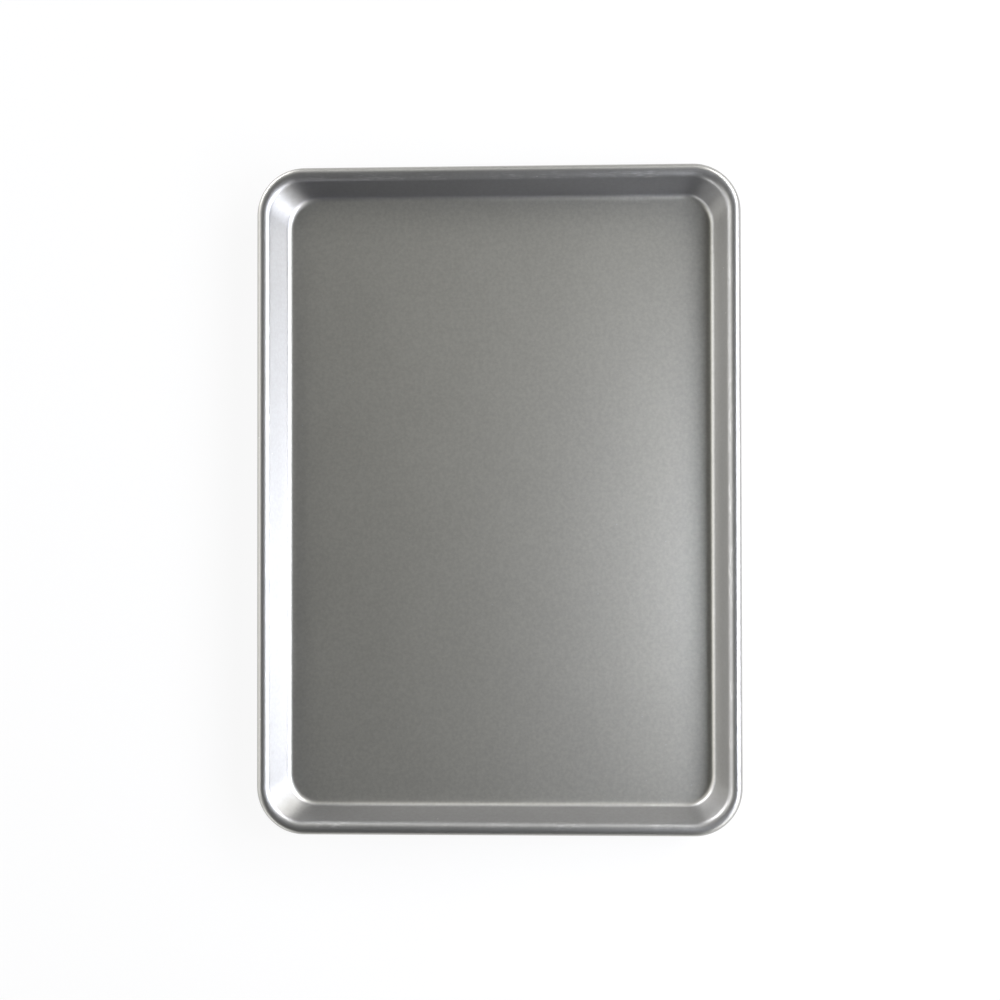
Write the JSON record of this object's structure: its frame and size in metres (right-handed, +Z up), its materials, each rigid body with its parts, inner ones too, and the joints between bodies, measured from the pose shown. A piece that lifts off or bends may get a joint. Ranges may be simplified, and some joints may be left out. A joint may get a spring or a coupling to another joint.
{
  "type": "jelly roll pan",
  "caption": "Shallow rectangular baking pan of drawn sheet metal, with rounded corners, low flared walls and a rim curled round a reinforcing wire.",
  "frame": {"origin": "centre of the pan's footprint, on the underside of its floor, which is the plane it stands on", "axes": "+Z up, out of the pan's open side; Y along its long sides; X along its short sides"},
  "size_m": [0.33, 0.455, 0.0254],
  "materials": {
    "aluminised_sheet": "matte aluminised steel sheet, fine even speckle",
    "rim_wire_steel": "plain drawn steel wire"
  },
  "bodies": {
    "root": {"pan": "aluminised_sheet", "rim_wire": "rim_wire_steel"}
  },
  "joints": []
}
